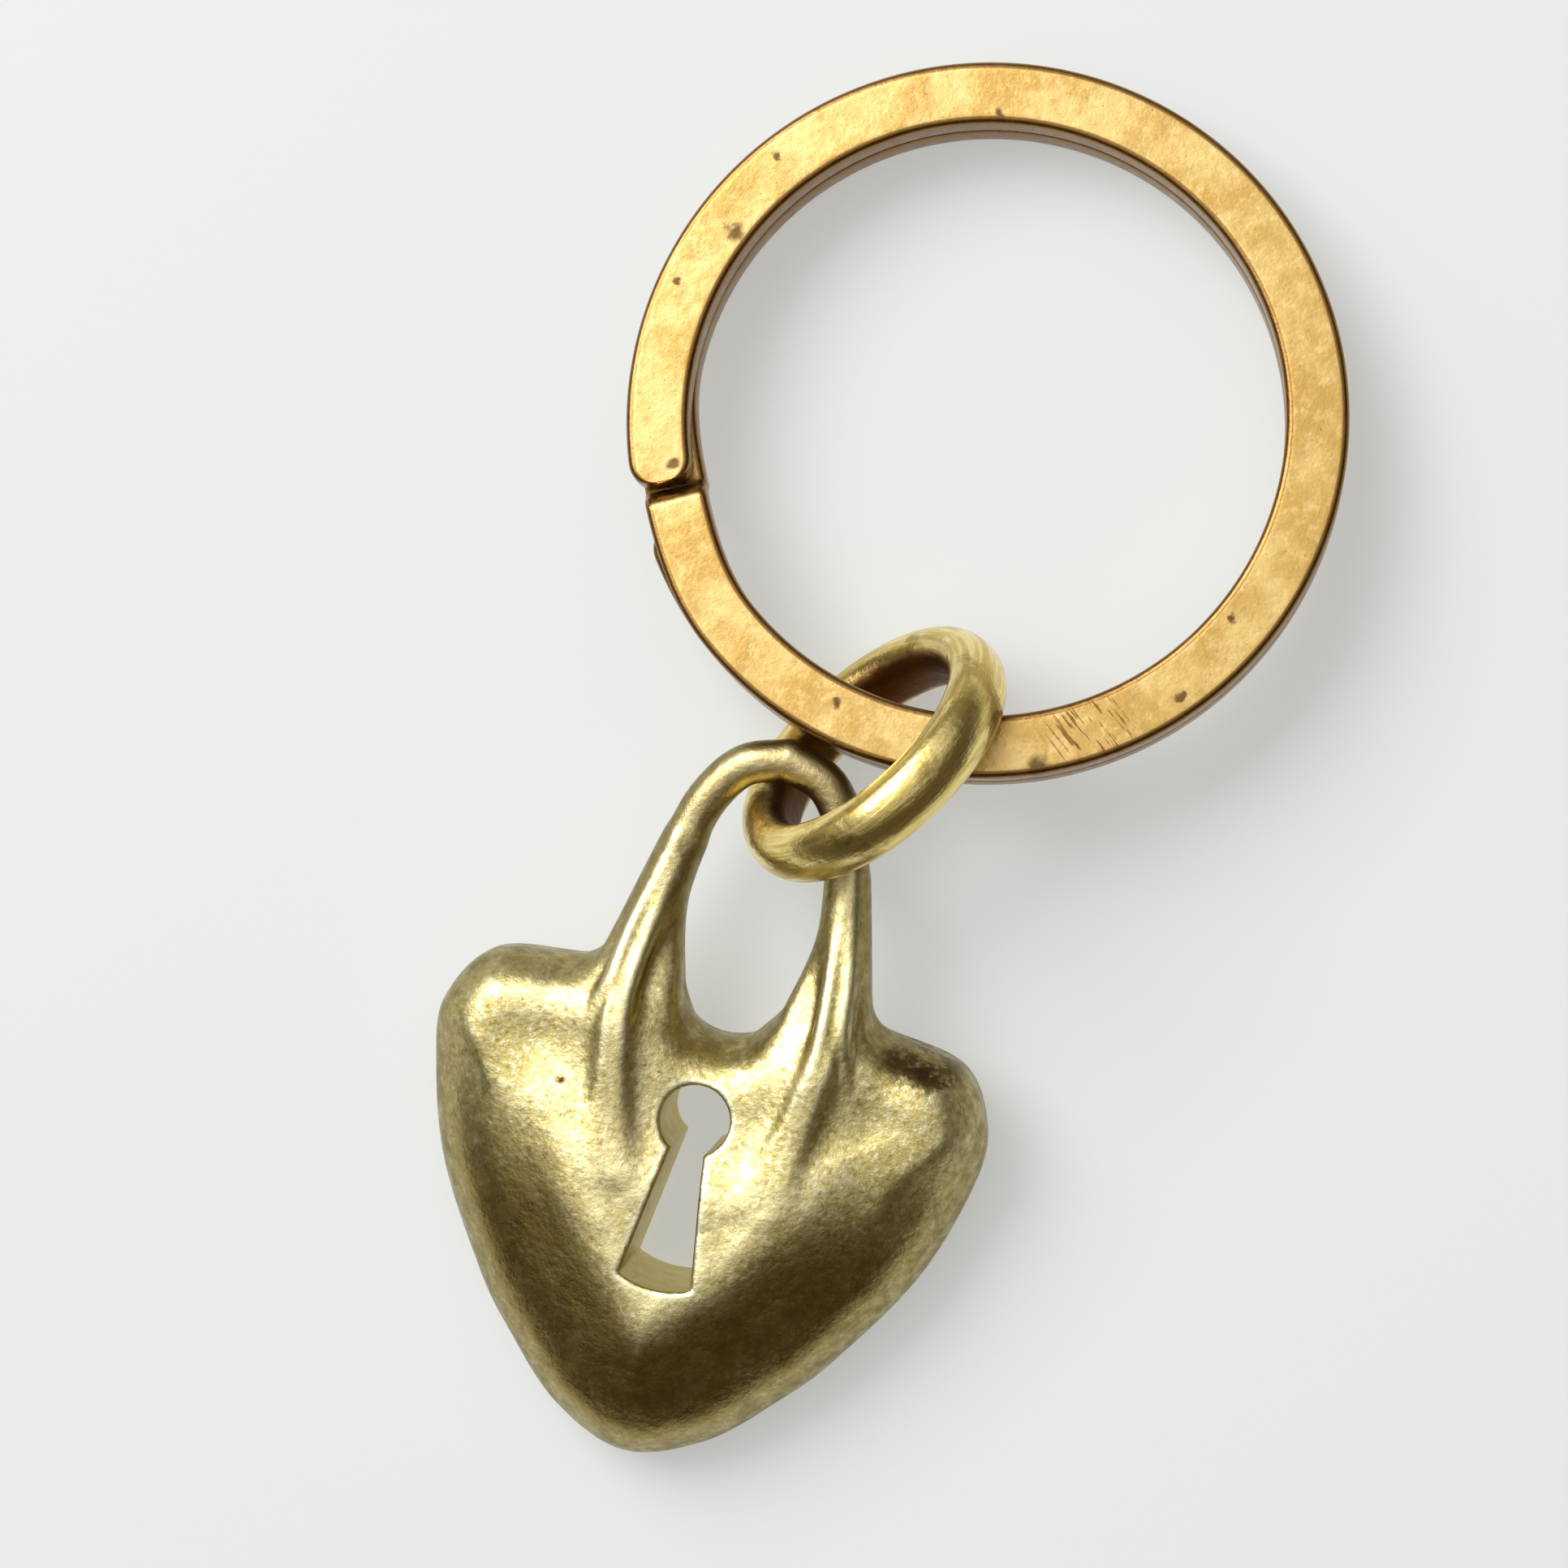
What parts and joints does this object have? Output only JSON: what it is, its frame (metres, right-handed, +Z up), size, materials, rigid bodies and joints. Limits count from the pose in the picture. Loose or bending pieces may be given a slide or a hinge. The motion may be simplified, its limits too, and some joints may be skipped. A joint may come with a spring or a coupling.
{
  "type": "heart padlock key fob",
  "caption": "Cast brass heart-padlock key fob with a fixed shackle and keyhole, on a thick jump ring and a flat-wire split ring.",
  "frame": {"origin": "middle of the base of the assembly's box, as it lies on a table", "axes": "+Z up from the table, +Y from the heart's tip towards its shackle and the split ring, +X to the right"},
  "size_m": [0.0334, 0.0642, 0.0129],
  "materials": {
    "heart_brass": "aged satin cast brass",
    "jump_brass": "worn yellow brass",
    "split_brass": "worn polished brass with small spots"
  },
  "bodies": {
    "heart": {"heart_fob": "heart_brass"},
    "jump": {"jump_ring": "jump_brass"},
    "split": {"split_ring": "split_brass"}
  },
  "joints": [
    {"name": "jump_ring_swing", "type": "hinge", "parent": "heart", "child": "jump", "pos_m": [-0.00319, -0.00092, 0.00556], "axis": [0.9781, -0.2079, 0], "range_deg": [-100, 40]},
    {"name": "split_ring_turn", "type": "hinge", "parent": "jump", "child": "split", "pos_m": [0.00087, 0.01626, 0.00379], "axis": [0, 0.1167, 0.9932], "continuous": true}
  ]
}
